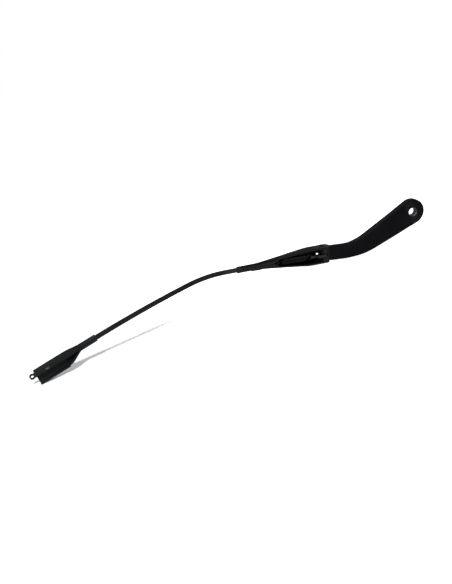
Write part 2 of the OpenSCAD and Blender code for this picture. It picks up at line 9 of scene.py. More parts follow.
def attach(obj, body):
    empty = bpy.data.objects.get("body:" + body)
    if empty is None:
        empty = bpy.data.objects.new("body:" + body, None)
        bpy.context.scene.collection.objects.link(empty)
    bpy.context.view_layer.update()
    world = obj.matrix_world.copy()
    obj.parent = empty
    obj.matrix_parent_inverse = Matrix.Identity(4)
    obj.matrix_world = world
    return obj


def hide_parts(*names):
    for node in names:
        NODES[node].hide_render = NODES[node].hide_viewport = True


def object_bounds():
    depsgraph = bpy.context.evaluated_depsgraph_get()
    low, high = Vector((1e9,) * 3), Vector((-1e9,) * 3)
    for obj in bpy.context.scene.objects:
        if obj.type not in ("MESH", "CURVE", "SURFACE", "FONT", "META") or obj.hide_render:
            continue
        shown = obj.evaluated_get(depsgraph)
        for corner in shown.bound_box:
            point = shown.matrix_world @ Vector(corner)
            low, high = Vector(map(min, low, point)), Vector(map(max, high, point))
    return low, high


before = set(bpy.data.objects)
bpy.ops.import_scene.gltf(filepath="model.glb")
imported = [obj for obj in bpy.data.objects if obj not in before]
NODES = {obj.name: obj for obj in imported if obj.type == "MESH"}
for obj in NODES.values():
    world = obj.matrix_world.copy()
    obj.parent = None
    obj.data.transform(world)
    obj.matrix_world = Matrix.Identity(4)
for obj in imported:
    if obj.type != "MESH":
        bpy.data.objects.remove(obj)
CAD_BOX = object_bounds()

MM = 0.001

# Materials: where a noise's values mostly lie, scales per metre, bump depths in metres,
# and the pointiness at which a coat is worn
NOISE_LOW, NOISE_HIGH = 0.3, 0.7
MOTTLE_SCALE, GRAIN_SCALE, METAL_MOTTLE_SCALE, TABLE_SCALE = 38.0, 260.0, 60.0, 40.0
PEEL_DEPTH, FINE_DEPTH, FINE_RATIO, FINE_SHARE = 0.0004, 0.00015, 3.2, 0.6
MARK_DEPTH, MARK_STRENGTH, MARK_ROUGHNESS = 0.0002, 0.16, 0.7
WORN_FROM, WORN_TO = 0.52, 0.6


class Look:
    """A procedural material, with short calls for its nodes."""

    def __init__(self, name):
        self.mat = bpy.data.materials.new(name)
        self.mat.use_nodes = True
        self.tree = self.mat.node_tree
        self.shader = self.tree.nodes["Principled BSDF"]

    def node(self, kind, **inputs):
        made = self.tree.nodes.new(kind)
        for key, value in inputs.items():
            made.inputs[key].default_value = value
        return made

    def link(self, a, out, b, into):
        self.tree.links.new(a.outputs[out], b.inputs[into])

    def noise(self, scale, detail, stretch=(1, 1, 1), roughness=0.5):
        """Noise in the object's coordinates, with a scale of its own along each axis."""
        made = self.node("ShaderNodeTexNoise", Scale=scale, Detail=detail, Roughness=roughness)
        mapping = self.node("ShaderNodeMapping", Scale=stretch)
        self.link(self.node("ShaderNodeTexCoord"), "Object", mapping, "Vector")
        self.link(mapping, "Vector", made, "Vector")
        return made

    def ramp(self, source, out, stops):
        made = self.node("ShaderNodeValToRGB")
        elements = made.color_ramp.elements
        for element, (place, colour) in zip(elements, stops):
            element.position = place
            element.color = (*colour, 1)
        self.link(source, out, made, "Fac")
        return made

    def spread(self, source, out, low, high, from_low=NOISE_LOW, from_high=NOISE_HIGH):
        made = self.node("ShaderNodeMapRange")
        for key, value in (("From Min", from_low), ("From Max", from_high),
                           ("To Min", low), ("To Max", high)):
            made.inputs[key].default_value = value
        self.link(source, out, made, "Value")
        return made

    def bump(self, layers):
        """Stacks (source, output, strength, distance) as bumps."""
        last = None
        for source, out, strength, distance in layers:
            made = self.node("ShaderNodeBump", Strength=strength, Distance=distance)
            self.link(source, out, made, "Height")
            if last:
                self.link(last, "Normal", made, "Normal")
            last = made
        self.link(last, "Normal", self.shader, "Normal")


def coated(name, dark, light, rough, peel_scale, peel, edge=None, gloss=0.5):
    """Painted or powder-coated metal: mottled colour, orange peel, fine grain, worn edges."""
    look = Look(name)
    colour = look.ramp(look.noise(MOTTLE_SCALE, 4.0), "Fac", [(0.3, dark), (0.72, light)])
    if edge:
        surface = look.node("ShaderNodeNewGeometry")
        worn = look.spread(surface, "Pointiness", 0.0, 1.0, WORN_FROM, WORN_TO)
        mix = look.node("ShaderNodeMix")
        mix.data_type = "RGBA"
        look.link(worn, "Result", mix, "Factor")
        look.link(colour, "Color", mix, "A")
        mix.inputs["B"].default_value = (*edge, 1)
        look.link(mix, "Result", look.shader, "Base Color")
    else:
        look.link(colour, "Color", look.shader, "Base Color")
    rough_map = look.spread(look.noise(GRAIN_SCALE, 3.0), "Fac", *rough)
    look.link(rough_map, "Result", look.shader, "Roughness")
    look.bump([(look.noise(peel_scale, 2.0), "Fac", peel, PEEL_DEPTH),
               (look.noise(peel_scale * FINE_RATIO, 2.0), "Fac", peel * FINE_SHARE, FINE_DEPTH)])
    look.shader.inputs["Metallic"].default_value = 0.0
    look.shader.inputs["Specular IOR Level"].default_value = gloss
    return look.mat


def bare_metal(name, dark, light, rough, stretch=(1, 1, 12), scale=160.0):
    """Bare or plated metal, with drawn or turned marks that are finest along one axis."""
    look = Look(name)
    colour = look.ramp(look.noise(METAL_MOTTLE_SCALE, 4.0), "Fac", [(0.28, dark), (0.74, light)])
    look.link(colour, "Color", look.shader, "Base Color")
    marks = look.noise(scale, 4.0, stretch, MARK_ROUGHNESS)
    rough_map = look.spread(marks, "Fac", *rough)
    look.link(rough_map, "Result", look.shader, "Roughness")
    look.bump([(marks, "Fac", MARK_STRENGTH, MARK_DEPTH)])
    look.shader.inputs["Metallic"].default_value = 1.0
    return look.mat


HEAD_BLACK = coated("head_black_coat", (0.0012, 0.0013, 0.0017), (0.003, 0.0032, 0.0039),
                    rough=(0.42, 0.54), peel_scale=700.0, peel=0.16,
                    edge=(0.014, 0.014, 0.015), gloss=0.06)
SHEET_BLACK = coated("sheet_black_coat", (0.0026, 0.0027, 0.003), (0.0052, 0.0053, 0.0058),
                     rough=(0.42, 0.52), peel_scale=1100.0, peel=0.08,
                     edge=(0.018, 0.018, 0.019), gloss=0.06)
ROD_BLACK = coated("rod_black_coat", (0.0062, 0.006, 0.0058), (0.0105, 0.0102, 0.0098),
                   rough=(0.42, 0.54), peel_scale=1300.0, peel=0.1,
                   edge=(0.022, 0.022, 0.022), gloss=0.08)
CLIP_BLACK = coated("connector_black_coat", (0.0046, 0.005, 0.0056), (0.0082, 0.0088, 0.0096),
                    rough=(0.44, 0.54), peel_scale=1100.0, peel=0.08,
                    edge=(0.014, 0.015, 0.016), gloss=0.05)
WASHER_GREY = coated("washer_grey_plastic", (0.03, 0.03, 0.03), (0.05, 0.05, 0.05),
                     rough=(0.45, 0.55), peel_scale=1500.0, peel=0.05)
BORE_ALLOY = bare_metal("bore_bare_alloy", (0.045, 0.045, 0.047), (0.1, 0.1, 0.102),
                        rough=(0.38, 0.52), stretch=(1, 12, 1), scale=300.0)
RIVET_DARK = bare_metal("rivet_dark_zinc", (0.06, 0.06, 0.061), (0.12, 0.12, 0.121),
                        rough=(0.3, 0.42))
SPRING_GREY = bare_metal("spring_wire_grey", (0.008, 0.0085, 0.0095), (0.017, 0.0175, 0.0185),
                         rough=(0.38, 0.52), stretch=(1, 1, 1), scale=420.0)
LINK_STEEL = bare_metal("link_plated_steel", (0.02, 0.02, 0.021), (0.05, 0.05, 0.051),
                        rough=(0.34, 0.48))
PIN_STEEL = bare_metal("pin_plain_steel", (0.22, 0.22, 0.225), (0.38, 0.38, 0.385),
                       rough=(0.25, 0.4))
BUSH_BRONZE = bare_metal("bush_sintered_bronze", (0.2, 0.14, 0.07), (0.36, 0.26, 0.14),
                         rough=(0.35, 0.5), stretch=(1, 1, 1), scale=900.0)

FINISH = {
    "mounting_head": HEAD_BLACK,
    "retainer_channel": SHEET_BLACK,
    "blade_connector": CLIP_BLACK,
    "arm_rod": ROD_BLACK,
    "pivot_rivet": SHEET_BLACK,
    "spring_link": LINK_STEEL,
    "tension_spring": SPRING_GREY,
    "anchor_pin": PIN_STEEL,
    "connector_rivet": RIVET_DARK,
    "head_bush_lower": BUSH_BRONZE,
    "head_bush_upper": BUSH_BRONZE,
    "pivot_washer_lower": WASHER_GREY,
    "pivot_washer_upper": WASHER_GREY,
}
for name, material in FINISH.items():
    for slot in NODES[name].material_slots:
        slot.material = material

# Frames of the fitted arm, in millimetres, with the same sizes as the CAD part
BOSS_H = 15.0
LAID = Matrix(((-1, 0, 0, 0), (0, 0, 1, -BOSS_H / 2), (0, 1, 0, 0), (0, 0, 0, 1)))
SCALED = Matrix.Diagonal((MM, MM, MM, 1))
CHANNEL_ANGLE, REST_FOLD = math.radians(10.5), math.radians(10)
HEAD_ANGLE, HEAD_RUN, HEAD_BEND_R = math.radians(-19.3), 80.5, 100
NECK_RUN, SHOULDER_TO_PIVOT, PIVOT_Z = 22.3, 13.4, 8.5


def heading(angle):
    return Vector((math.cos(angle), math.sin(angle), 0))


PIVOT = (heading(HEAD_ANGLE) * HEAD_RUN
         + HEAD_BEND_R * (heading(HEAD_ANGLE + math.pi / 2) - heading(CHANNEL_ANGLE + math.pi / 2))
         + heading(CHANNEL_ANGLE) * (NECK_RUN + SHOULDER_TO_PIVOT) + Vector((0, 0, PIVOT_Z)))
NECK = SCALED @ LAID @ Matrix.Translation(PIVOT) @ Matrix.Rotation(CHANNEL_ANGLE, 4, "Z")
SWING = NECK @ Matrix.Rotation(REST_FOLD, 4, "Y")

# Helpers: how far a cutter reaches past what it cuts, what counts as a hair or a sliver,
# and the run over which a profile's corners are softened
PAST = 1
HAIR, SLIVER = 0.004, 0.002
SOFT_REACH, SOFT_STEPS = 7.0, 6


def arc(centre, radius, start, end, steps):
    """Points of an arc in a plane, with angles in degrees, ends included."""
    turns = [math.radians(start + (end - start) * i / steps) for i in range(steps + 1)]
    return [(centre[0] + radius * math.cos(a), centre[1] + radius * math.sin(a)) for a in turns]


def circle(centre, radius, count):
    return arc(centre, radius, 0, 360 - 360 / count, count - 1)


def ring_of(radius, up, count=96):
    """Circle about the upright axis, as points in space."""
    turns = [2 * math.pi * i / count for i in range(count)]
    return [(radius * math.cos(a), radius * math.sin(a), up) for a in turns]


def ease(t):
    t = min(1.0, max(0.0, t))
    return t * t * (3 - 2 * t)


def mix_of(a, b, t):
    return a + (b - a) * t


def lookup(x, table):
    """Straight lines through the table's points, level past its ends."""
    if x <= table[0][0]:
        return table[0][1]
    for (x0, y0), (x1, y1) in zip(table, table[1:]):
        if x <= x1:
            return mix_of(y0, y1, (x - x0) / (x1 - x0))
    return table[-1][1]


def softened(x, table):
    """The table's value, with its corners drawn out into soft bends."""
    places = [x + SOFT_REACH * (2 * i / SOFT_STEPS - 1) for i in range(SOFT_STEPS + 1)]
    return sum(lookup(at, table) for at in places) / (SOFT_STEPS + 1)


def skinned(rings, closed=False):
    """Bmesh with a skin through rings of points, and its rows of vertices."""
    made = bmesh.new()
    rows = [[made.verts.new(p) for p in ring] for ring in rings]
    count = len(rows[0])
    for a, b in zip(rows, rows[1:] + rows[:1] if closed else rows[1:]):
        for i in range(count):
            j = (i + 1) % count
            made.faces.new((a[i], a[j], b[j], b[i]))
    return made, rows


def finished(name, made):
    """Mesh of a bmesh, with its normals outward."""
    bmesh.ops.recalc_face_normals(made, faces=made.faces)
    mesh = bpy.data.meshes.new(name)
    made.to_mesh(mesh)
    made.free()
    return mesh


def mesh_from(name, rings):
    """Closed skin through rings of points, with a cap on each end."""
    made, rows = skinned(rings)
    made.faces.new(rows[0][::-1])
    made.faces.new(rows[-1])
    return finished(name, made)


def linked(name, data):
    """New object in the scene."""
    made = bpy.data.objects.new(name, data)
    bpy.context.collection.objects.link(made)
    return made


def solid(name, rings, matrix=None):
    """Object for the Booleans: a closed skin through rings of points, moved by a matrix."""
    made = linked(name, mesh_from(name, rings))
    if matrix:
        made.data.transform(matrix)
    return made


def across(name, outline, half, matrix=None):
    """Prism across the arm, as far each way, from a side view with X and Z."""
    return solid(name, [[(x, y, z) for x, z in outline] for y in (-half, half)], matrix)


def combine(target, others, operation):
    """Joins or cuts one object with others, and removes those."""
    for other in others:
        step = target.modifiers.new("step", "BOOLEAN")
        step.operation = operation
        step.solver = "EXACT"
        step.object = other
    depsgraph = bpy.context.evaluated_depsgraph_get()
    bpy.context.view_layer.update()
    result = bpy.data.meshes.new_from_object(target.evaluated_get(depsgraph))
    target.modifiers.clear()
    target.data = result
    for other in others:
        bpy.data.objects.remove(other)


def smooth_with_edges(mesh, angle=32):
    """Joins what a cut left a hair apart, then smooth shading that keeps true corners."""
    made = bmesh.new()
    made.from_mesh(mesh)
    bmesh.ops.remove_doubles(made, verts=made.verts, dist=HAIR)
    bmesh.ops.dissolve_degenerate(made, edges=made.edges, dist=SLIVER)
    bmesh.ops.triangulate(made, faces=[face for face in made.faces if len(face.verts) > 4])
    bmesh.ops.dissolve_degenerate(made, edges=made.edges, dist=SLIVER)
    made.to_mesh(mesh)
    made.free()
    for face in mesh.polygons:
        face.use_smooth = True
    mesh.set_sharp_from_angle(angle=math.radians(angle))


def taken(made, angle=32):
    """Mesh of an object, with smooth shading. The object is removed."""
    mesh = made.data
    bpy.data.objects.remove(made)
    smooth_with_edges(mesh, angle)
    return mesh


def added(name, mesh, material, body, frame_matrix):
    """A piece from a mesh drawn in a frame, riding on a body."""
    mesh.transform(frame_matrix)
    if frame_matrix.to_3x3().determinant() < 0:
        mesh.flip_normals()
    made = linked(name, mesh)
    mesh.materials.clear()
    mesh.materials.append(material)
    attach(made, body)
    return made


# Retainer channel: the CAD sheet with drawn folds, soft bends, a flap's end on the crimp
# and the stop tongue at the start of its web. X runs from the pivot to the crimp
SHEET_T, WEB_Z, EDGE_Z = 1.5, 7.5, 13.0
PIVOT_HALF, MIDDLE_HALF, CRIMP_HALF = 13.15, 8.7, 5.13
MIDDLE_TOP, MIDDLE_UNDER, CRIMP_TOP, CRIMP_UNDER = 4.6, -9.2, -0.37, -6.63
EAR_BACK, EAR_R, PIVOT_RIVET_R = 2.2, 10.25, 3
PARALLEL_TO, TAPER_MIDDLE, CRIMP_FROM, CHANNEL_END = 28.0, 72.0, 118.0, 151.0
CLOSED_FROM, CLOSING_RUN = 92.0, 14.0
FLAP_END, FLAP_STEP, FLAP_EDGE, FLAP_RUN = 128.0, 1.1, 1.2, 14
WEB_FOLD, LIP_FOLD, CRIMP_FOLD, LEAST_FOLD, FOLD_STEPS = 2.6, 0.5, 2.33, 0.25, 6
LIP_REACH, SEAM_HALF = 0.6, 0.5
WEB_FROM = 8.5
INNER_HALF = PIVOT_HALF - SHEET_T

# Stations, close together in the taper and at the flap's end. The first one keeps off X = 0,
# where its points would lie on corners of the cuts
EAR_STATIONS = [1.37, 14, 20]
TAPER_STATIONS = [22 + 1.5 * i for i in range(67)]
FLAP_STATIONS = [124, 126.8, 127.1, 127.4, 127.7, FLAP_END]
CRIMP_STATIONS = [128.5, 133, 137.5, 142, 146.5, CHANNEL_END]

# Stop tongue: a hook round the lug, from the web down, with a slot for the link
TONGUE_NEAR_R, TONGUE_FAR_R, TONGUE_END, TONGUE_NEAR_UP, TONGUE_FAR_UP = 8.4, 9.6, -24, 53, 24
TONGUE_WEB_X, TONGUE_OVERLAP, TONGUE_GAP = 5.0, 2, 0.65
TONGUE_FOLD_AT, TONGUE_FOLD_R, TONGUE_FOLD_TO = (10.1, 4.6), 1.4, 172
LINK_SLOT = [(7, -5), (11, -5), (11, 0.6), (10.6, 1.0), (7.4, 1.0), (7, 0.6)]
LINK_SLOT_HALF = 2.7


def sheet_ring(x, span, level, lips, folds):
    """Section of a folded sheet: web on top, two walls, lips folded in under."""
    web_fold, lip_fold = folds
    web_in, lip_in = max(LEAST_FOLD, web_fold - SHEET_T), max(LEAST_FOLD, lip_fold - SHEET_T)
    low, high = span[0] + SHEET_T, span[1] - SHEET_T
    under, top = level[0] + SHEET_T, level[1] - SHEET_T
    points = [(lips[1], level[0])]
    for centre, radius, start, end in (
            ((span[1] - lip_fold, level[0] + lip_fold), lip_fold, -90, 0),
            ((span[1] - web_fold, level[1] - web_fold), web_fold, 0, 90),
            ((span[0] + web_fold, level[1] - web_fold), web_fold, 90, 180),
            ((span[0] + lip_fold, level[0] + lip_fold), lip_fold, 180, 270)):
        points += arc(centre, radius, start, end, FOLD_STEPS)
    points += [(lips[0], level[0]), (lips[0], under)]
    for centre, radius, start, end in (
            ((low + lip_in, under + lip_in), lip_in, 270, 180),
            ((low + web_in, top - web_in), web_in, 180, 90),
            ((high - web_in, top - web_in), web_in, 90, 0),
            ((high - lip_in, under + lip_in), lip_in, 0, -90)):
        points += arc(centre, radius, start, end, FOLD_STEPS)
    points.append((lips[1], under))
    return [(x, y, z) for y, z in points]


def channel_ring(x):
    half, top, under = (softened(x, list(zip((PARALLEL_TO, TAPER_MIDDLE, CRIMP_FROM), values)))
                        for values in ((PIVOT_HALF, MIDDLE_HALF, CRIMP_HALF),
                                       (WEB_Z, MIDDLE_TOP, CRIMP_TOP),
                                       (-EDGE_Z, MIDDLE_UNDER, CRIMP_UNDER)))
    closed = ease((x - CLOSED_FROM + CLOSING_RUN) / CLOSING_RUN)
    lip = mix_of(half - SHEET_T - LIP_REACH, SEAM_HALF, closed)
    flap = (FLAP_STEP * ease((FLAP_END - x) / FLAP_EDGE)
            * ease((x - CRIMP_FROM + FLAP_RUN) / FLAP_RUN))
    tapered = ease((x - TAPER_MIDDLE) / (CRIMP_FROM - TAPER_MIDDLE))
    folds = (mix_of(WEB_FOLD, CRIMP_FOLD, tapered), mix_of(LIP_FOLD, CRIMP_FOLD, closed))
    return sheet_ring(x, (-half - flap, half), (under, top), (-lip, lip), folds)


def channel_piece():
    start = -EAR_BACK - EAR_R - PAST
    stations = [start] + EAR_STATIONS + TAPER_STATIONS + FLAP_STATIONS + CRIMP_STATIONS
    sheet = solid("channel_sheet", [channel_ring(x) for x in stations])
    ears = across("ears", arc((-EAR_BACK, (WEB_Z - EDGE_Z) / 2), EAR_R, 90, 270, 40)
                  + [(-EAR_BACK, -EDGE_Z - PAST), (CHANNEL_END + PAST, -EDGE_Z - PAST),
                     (CHANNEL_END + PAST, WEB_Z + PAST), (-EAR_BACK, WEB_Z + PAST)],
                  PIVOT_HALF + PAST)
    combine(sheet, [ears], "INTERSECT")
    opening = across("opening", [(start, 0), (WEB_FROM, 0), (WEB_FROM, WEB_Z + PAST),
                                 (start, WEB_Z + PAST)], INNER_HALF)
    rivet_hole = across("rivet_hole", circle((0, 0), PIVOT_RIVET_R, 48), PIVOT_HALF + PAST)
    combine(sheet, [opening, rivet_hole], "DIFFERENCE")
    tongue = (arc((0, 0), TONGUE_NEAR_R, TONGUE_END, TONGUE_NEAR_UP, 16)
              + [(TONGUE_WEB_X, WEB_Z), (WEB_FROM + TONGUE_OVERLAP, WEB_Z),
                 (WEB_FROM + TONGUE_OVERLAP, WEB_Z - SHEET_T)]
              + arc(TONGUE_FOLD_AT, TONGUE_FOLD_R, 90, TONGUE_FOLD_TO, 6)
              + arc((0, 0), TONGUE_FAR_R, TONGUE_FAR_UP, TONGUE_END, 12))
    stop = across("stop_tongue", tongue, INNER_HALF - TONGUE_GAP)
    combine(stop, [across("link_slot", LINK_SLOT, LINK_SLOT_HALF)], "DIFFERENCE")
    combine(sheet, [stop], "UNION")
    made = added("retainer_channel_sheet", taken(sheet), SHEET_BLACK, "arm", SWING)
    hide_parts("retainer_channel")


channel_piece()

# Head: the casting's boss, bent beam and forked lug, with finer bends and rounded edges
BOSS_R, HEAD_ROUND, UNDER_ROUND, HUMP = 20.5, 5.2, 1.6, 2.0
NECK_W, NECK_H, LUG_R, LUG_HALF, LUG_ROOT_EDGE = 23.6, 13.6, 7.2, 10.55, 0.6
BUSH_R, ANCHOR_R, ANCHOR_AT, ANCHOR_BOSS_R = 4.05, 2.0, (-3, -8.5), 4
HEAD_STEPS, BOSS_STEPS, HEAD_TAPER = 80, 72, 0.72
BEND_LEN = HEAD_BEND_R * (CHANNEL_ANGLE - HEAD_ANGLE)
HEAD_LEN = HEAD_RUN + BEND_LEN + NECK_RUN
BEND_START = heading(HEAD_ANGLE) * HEAD_RUN
BEND_MIDDLE = BEND_START + HEAD_BEND_R * heading(HEAD_ANGLE + math.pi / 2)
BEND_END = BEND_MIDDLE - HEAD_BEND_R * heading(CHANNEL_ANGLE + math.pi / 2)
NECK_UNDER = PIVOT_Z - NECK_H / 2

# Slot for the link, open below, and above it from SLOT_OPEN_X on. A bridge is left between
# there and the neck
SLOT_HALF, SLOT_BACK, SLOT_REACH = 2.8, 7.5, 30
SLOT_OPEN_X, SLOT_BRIDGE_X, SLOT_BRIDGE_Z, SLOT_OPEN_Z = 2.3, 1.6, 5.3, 6.0

# Spindle's hole from its mouth up to the nut's pocket: radius and height
HOLE_PROFILE = [(8.45, -1), (7.45, 0), (6.6, 1), (6.1, 6), (5.95, 6), (5.95, 9),
                (10.6, 9), (11, 9.4), (11, 16)]
# Its bare skin, up inside and down outside: radius, depth of the serrations and height
SERRATIONS = 36
BORE_PROFILE = [(7.25, 0, 0), (6.25, 0.175, 1), (5.76, 0.175, 5.9), (5.75, 0, 6.1), (5.75, 0, 9),
                (6.3, 0, 9), (6.3, 0, 6), (6.8, 0, 1), (7.7, 0, 0)]


def head_at(run):
    """Middle line of the head in plan, and its heading."""
    if run <= HEAD_RUN:
        return heading(HEAD_ANGLE) * run, HEAD_ANGLE
    if run <= HEAD_RUN + BEND_LEN:
        turned = HEAD_ANGLE + (run - HEAD_RUN) / HEAD_BEND_R
        return BEND_MIDDLE - HEAD_BEND_R * heading(turned + math.pi / 2), turned
    return BEND_END + heading(CHANNEL_ANGLE) * (run - HEAD_RUN - BEND_LEN), CHANNEL_ANGLE


def head_outline(inset):
    """Points in plan with their run along the head: one side, round the boss, the other side."""
    sides = {1: [], -1: []}
    for k in range(HEAD_STEPS, 0, -1):
        run = HEAD_LEN * k / HEAD_STEPS
        at, turned = head_at(run)
        tapered = min(1, run / (HEAD_RUN + BEND_LEN * HEAD_TAPER))
        half = mix_of(BOSS_R, NECK_W / 2, tapered) - inset
        for side, points in sides.items():
            point = at + side * half * heading(turned + math.pi / 2)
            points.append((point.x, point.y, run))
    start = math.degrees(HEAD_ANGLE) + 90
    round_end = arc((0, 0), BOSS_R - inset, start, math.degrees(HEAD_ANGLE) + 270, BOSS_STEPS)
    return sides[1] + [(x, y, 0) for x, y in round_end] + sides[-1][::-1]


def head_rise(run):
    """From 0 on the boss to 1 at the neck."""
    return ease((run - BOSS_R) / (HEAD_LEN - BOSS_R))


def head_under(run):
    return NECK_UNDER * head_rise(run)


def head_top(run):
    rise = head_rise(run)
    return mix_of(BOSS_H, NECK_UNDER + NECK_H, rise) + HUMP * math.sin(math.pi * rise)


def head_beam():
    edges = [(inset, up, head_under)
             for inset, up in arc((UNDER_ROUND, UNDER_ROUND), UNDER_ROUND, 270, 180, 6)]
    edges += [(inset, up, head_top)
              for inset, up in arc((HEAD_ROUND, -HEAD_ROUND), HEAD_ROUND, 180, 90, 10)]
    made, rows = skinned([[(x, y, level(run) + up) for x, y, run in head_outline(inset)]
                          for inset, up, level in edges])
    # Under and upper face in strips from side to side, since they aren't flat
    last = len(rows[0]) - 1
    for row in (rows[0], rows[-1]):
        for i in range(last // 2):
            j = last - i
            strip = [row[i], row[i + 1], row[j - 1], row[j]]
            made.faces.new(strip if j - 1 > i + 1 else strip[:2] + strip[3:])
    return linked("head_beam", finished("head_beam", made))


def head_piece():
    head = head_beam()
    # The neck's frame as seen from the head's own, both in millimetres
    to_neck = Matrix.Translation(PIVOT) @ Matrix.Rotation(CHANNEL_ANGLE, 4, "Z")
    root, root_half = -SHOULDER_TO_PIVOT - PAST, NECK_H / 2 - LUG_ROOT_EDGE
    points = (circle((0, 0), LUG_R, 120) + circle(ANCHOR_AT, ANCHOR_BOSS_R, 72)
              + [(root, -root_half), (root, root_half)])
    outline = [points[i] for i in geometry.convex_hull_2d([Vector(p) for p in points])]
    combine(head, [across("lug", outline, LUG_HALF, to_neck)], "UNION")
    hole = solid("hole", [ring_of(radius, up) for radius, up in HOLE_PROFILE])
    bushes = across("bushes", circle((0, 0), BUSH_R, 96), LUG_HALF + PAST, to_neck)
    pin = across("pin", circle(ANCHOR_AT, ANCHOR_R, 48), LUG_HALF + PAST, to_neck)
    slot = across("slot", [(-SLOT_BACK, -SLOT_REACH), (LUG_R + PAST, -SLOT_REACH),
                           (LUG_R + PAST, SLOT_REACH), (SLOT_OPEN_X, SLOT_REACH),
                           (SLOT_OPEN_X, SLOT_OPEN_Z), (SLOT_BRIDGE_X, SLOT_BRIDGE_Z),
                           (-SLOT_BACK, SLOT_BRIDGE_Z)], SLOT_HALF, to_neck)
    combine(head, [hole, bushes, pin, slot], "DIFFERENCE")
    made = added("mounting_head_casting", taken(head, 30), HEAD_BLACK, "head", SCALED @ LAID)
    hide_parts("mounting_head")


def star(radius, depth, up):
    """Ring of the bore's skin, in and out by the depth of the serrations."""
    points = []
    for i in range(2 * SERRATIONS):
        reach, turned = radius + (i % 2 * 2 - 1) * depth, math.pi * i / SERRATIONS
        points.append((reach * math.cos(turned), reach * math.sin(turned), up))
    return points


def bore_piece():
    """Bare alloy of the spindle's hole: chamfer, serrated taper and plain land."""
    made, _ = skinned([star(*edge) for edge in BORE_PROFILE], closed=True)
    mesh = finished("bore", made)
    smooth_with_edges(mesh, 12)
    added("spindle_bore_alloy", mesh, BORE_ALLOY, "head", SCALED @ LAID)


head_piece()
bore_piece()

# Rod: the strip with its main bend, its long bow, the eye and the holes
ROD_HALF, ROD_THICK, ROD_EDGE, ROD_Z, ROD_STEPS = 3.6, 3.2, 0.8, 3.5, 72
ROD_START, ROD_STRAIGHT = 79.5, 172.0
MAIN_BEND_R, MAIN_BEND, BOW_R, BOW = 206.0, math.radians(17), 1850.0, math.radians(4.8)
CONNECTOR_LEN, TIP_LEN, TIP_RIVET_X, TIP_RIVET_R = 98.0, 102.8, 79.0, 2.0
EYE_R, EYE_HOLE_R, HOOK_HOLE_X, HOOK_HOLE_R = 4.3, 2.1, 84.3, 2.2
EYE_PROFILE = [(EYE_R - 0.35, -1.45), (EYE_R, -1.1), (EYE_R, 1.1), (EYE_R - 0.35, 1.45)]
# The strip ends short of the eye's middle, where its points would lie on the eye's own
STRIP_SHORT, CUT_REACH = 0.37, 4
MAIN_LEN, BOW_LEN = MAIN_BEND_R * MAIN_BEND, BOW_R * BOW


def bent(start, radius, angle):
    """Place and heading after a bend towards -Y."""
    at, turned = start
    step = Vector((radius * math.sin(angle), -radius * (1 - math.cos(angle)), 0))
    return at + Matrix.Rotation(turned, 3, "Z") @ step, turned - angle


MAIN_IN = (Vector((ROD_STRAIGHT, 0, 0)), 0)
MAIN_OUT = bent(MAIN_IN, MAIN_BEND_R, MAIN_BEND)
BOW_OUT = bent(MAIN_OUT, BOW_R, BOW)
TIP_MOVE = Matrix.Translation((BOW_OUT[0].x, BOW_OUT[0].y, -ROD_Z))
TIP_TURN = Matrix.Rotation(BOW_OUT[1], 4, "Z")
TIP = SWING @ TIP_MOVE @ TIP_TURN


def rod_at(run):
    """Middle line of the rod, and its heading."""
    if run <= ROD_STRAIGHT:
        return Vector((run, 0, 0)), 0
    if run <= ROD_STRAIGHT + MAIN_LEN:
        return bent(MAIN_IN, MAIN_BEND_R, (run - ROD_STRAIGHT) / MAIN_BEND_R)
    if run <= ROD_STRAIGHT + MAIN_LEN + BOW_LEN:
        return bent(MAIN_OUT, BOW_R, (run - ROD_STRAIGHT - MAIN_LEN) / BOW_R)
    at, turned = BOW_OUT
    return at + heading(turned) * (run - ROD_STRAIGHT - MAIN_LEN - BOW_LEN), turned


def rod_piece():
    side, up = ROD_HALF - ROD_EDGE, ROD_THICK / 2 - ROD_EDGE
    section = []
    for centre, start in (((side, -up), -90), ((side, up), 0), ((-side, up), 90),
                          ((-side, -up), 180)):
        section += arc(centre, ROD_EDGE, start, start + 90, FOLD_STEPS)
    bends = [ROD_STRAIGHT + (MAIN_LEN + BOW_LEN) * i / ROD_STEPS for i in range(ROD_STEPS + 1)]
    rings = []
    for run in [ROD_START] + bends + [ROD_STRAIGHT + MAIN_LEN + BOW_LEN + TIP_LEN - STRIP_SHORT]:
        at, turned = rod_at(run)
        sideways = heading(turned + math.pi / 2)
        rings.append([(at.x + y * sideways.x, at.y + y * sideways.y, z - ROD_Z)
                      for y, z in section])
    rod = solid("rod", rings)
    to_tip = TIP_MOVE @ TIP_TURN
    to_eye = to_tip @ Matrix.Translation((TIP_LEN, 0, 0))
    eye = solid("eye", [ring_of(radius, z, 64) for radius, z in EYE_PROFILE], to_eye)
    combine(rod, [eye], "UNION")
    holes = ((EYE_HOLE_R, to_eye),
             (TIP_RIVET_R, to_tip @ Matrix.Translation((TIP_RIVET_X, 0, 0))),
             (HOOK_HOLE_R, Matrix.Translation((HOOK_HOLE_X, 0, -ROD_Z))))
    combine(rod, [solid("cutter", [ring_of(radius, z, 64) for z in (-CUT_REACH, CUT_REACH)],
                        matrix) for radius, matrix in holes], "DIFFERENCE")
    made = added("arm_rod_strip", taken(rod), ROD_BLACK, "arm", SWING)
    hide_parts("arm_rod")


# Connector: crimped sleeve, flare and open body
SLEEVE_LEN, FLARE_LEN, FLARE_STEPS, STEP_STEPS = 25.0, 25.0, 40, 6
SHELL_HALF, SHELL_TOP, BODY_UP, BODY_DOWN, BODY_DEPTH = 5.13, 3.13, 7.5, 15.0, 7.4
WALL_STEP = 2.0
# How the flare opens: partly evenly and partly late downward, faster in depth and at the seam
EVEN_SHARE, LATE_SHARE, DEPTH_RATE, SEAM_RATE = 0.9, 0.1, 1.4, 3


